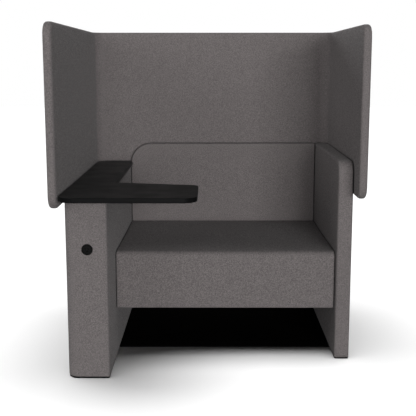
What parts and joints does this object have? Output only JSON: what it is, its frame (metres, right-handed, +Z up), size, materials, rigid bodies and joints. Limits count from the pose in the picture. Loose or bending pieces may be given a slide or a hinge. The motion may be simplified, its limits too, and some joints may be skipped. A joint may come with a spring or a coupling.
{
  "type": "acoustic high back lounge chair",
  "caption": "Upholstered lounge chair inside a U-shaped acoustic screen, with a slab arm, and a pedestal carrying an L-shaped black worktop and a round outlet.",
  "frame": {"origin": "on the floor, under the middle of the chair's overall box", "axes": "+Z up; the sitter faces -Y; +X is at the right of someone who looks at the chair, where the slab arm is"},
  "size_m": [1.2, 1.213, 1.359],
  "materials": {
    "fabric": "matte",
    "foam": "matte",
    "black_textile": "matte",
    "black_base": "matte",
    "black_top": "matte",
    "plywood": "matte",
    "nylon": "satin",
    "outlet_rim": "satin",
    "outlet_face": "satin",
    "brass": "satin",
    "rubber": "matte",
    "zinc_steel": "satin"
  },
  "bodies": {
    "chair": {"arm_bottom_rail": "plywood", "arm_cover": "fabric", "arm_foam": "foam", "arm_front_post": "plywood", "arm_inner_skin": "plywood", "arm_outer_skin": "plywood", "arm_rear_post": "plywood", "arm_seat_rail": "plywood", "arm_top_rail": "plywood", "back_board": "plywood", "back_bolts": "zinc_steel", "back_cover": "fabric", "back_foam": "foam", "base_board": "black_base", "base_screws": "zinc_steel", "cable_grommet": "rubber", "glide_nuts": "zinc_steel", "insert_nuts": "zinc_steel", "outlet_bezel": "outlet_rim", "outlet_contacts": "brass", "outlet_face": "outlet_face", "outlet_housing": "outlet_rim", "outlet_nut": "outlet_rim", "pedestal_bottom_board": "plywood", "pedestal_cover": "fabric", "pedestal_foam": "foam", "pedestal_front_board": "plywood", "pedestal_inner_board": "plywood", "pedestal_outer_board": "plywood", "pedestal_rear_board": "plywood", "pedestal_top_board": "plywood", "screen_board": "plywood", "screen_bolts": "zinc_steel", "screen_cover": "fabric", "screen_edge_strip": "nylon", "screen_foam": "foam", "seat_bolts": "zinc_steel", "seat_cover": "fabric", "seat_dust_cover": "black_textile", "seat_foam": "foam", "seat_front_rail": "plywood", "seat_left_rail": "plywood", "seat_rear_rail": "plywood", "seat_right_rail": "plywood", "seat_webbing": "black_textile", "tabletop": "black_top", "tabletop_screws": "zinc_steel"},
    "glide_pedestal_front_outer": {"glide_pad_pedestal_front_outer": "nylon", "glide_stud_pedestal_front_outer": "zinc_steel"},
    "glide_pedestal_front_inner": {"glide_pad_pedestal_front_inner": "nylon", "glide_stud_pedestal_front_inner": "zinc_steel"},
    "glide_pedestal_rear_outer": {"glide_pad_pedestal_rear_outer": "nylon", "glide_stud_pedestal_rear_outer": "zinc_steel"},
    "glide_pedestal_rear_inner": {"glide_pad_pedestal_rear_inner": "nylon", "glide_stud_pedestal_rear_inner": "zinc_steel"},
    "glide_arm_front": {"glide_pad_arm_front": "nylon", "glide_stud_arm_front": "zinc_steel"},
    "glide_arm_rear": {"glide_pad_arm_rear": "nylon", "glide_stud_arm_rear": "zinc_steel"}
  },
  "joints": [
    {"name": "level_pedestal_front_outer", "type": "slide", "parent": "chair", "child": "glide_pedestal_front_outer", "axis": [0, 0, -1], "range_m": [0, 0.01]},
    {"name": "level_pedestal_front_inner", "type": "slide", "parent": "chair", "child": "glide_pedestal_front_inner", "axis": [0, 0, -1], "range_m": [0, 0.01]},
    {"name": "level_pedestal_rear_outer", "type": "slide", "parent": "chair", "child": "glide_pedestal_rear_outer", "axis": [0, 0, -1], "range_m": [0, 0.01]},
    {"name": "level_pedestal_rear_inner", "type": "slide", "parent": "chair", "child": "glide_pedestal_rear_inner", "axis": [0, 0, -1], "range_m": [0, 0.01]},
    {"name": "level_arm_front", "type": "slide", "parent": "chair", "child": "glide_arm_front", "axis": [0, 0, -1], "range_m": [0, 0.01]},
    {"name": "level_arm_rear", "type": "slide", "parent": "chair", "child": "glide_arm_rear", "axis": [0, 0, -1], "range_m": [0, 0.01]}
  ]
}
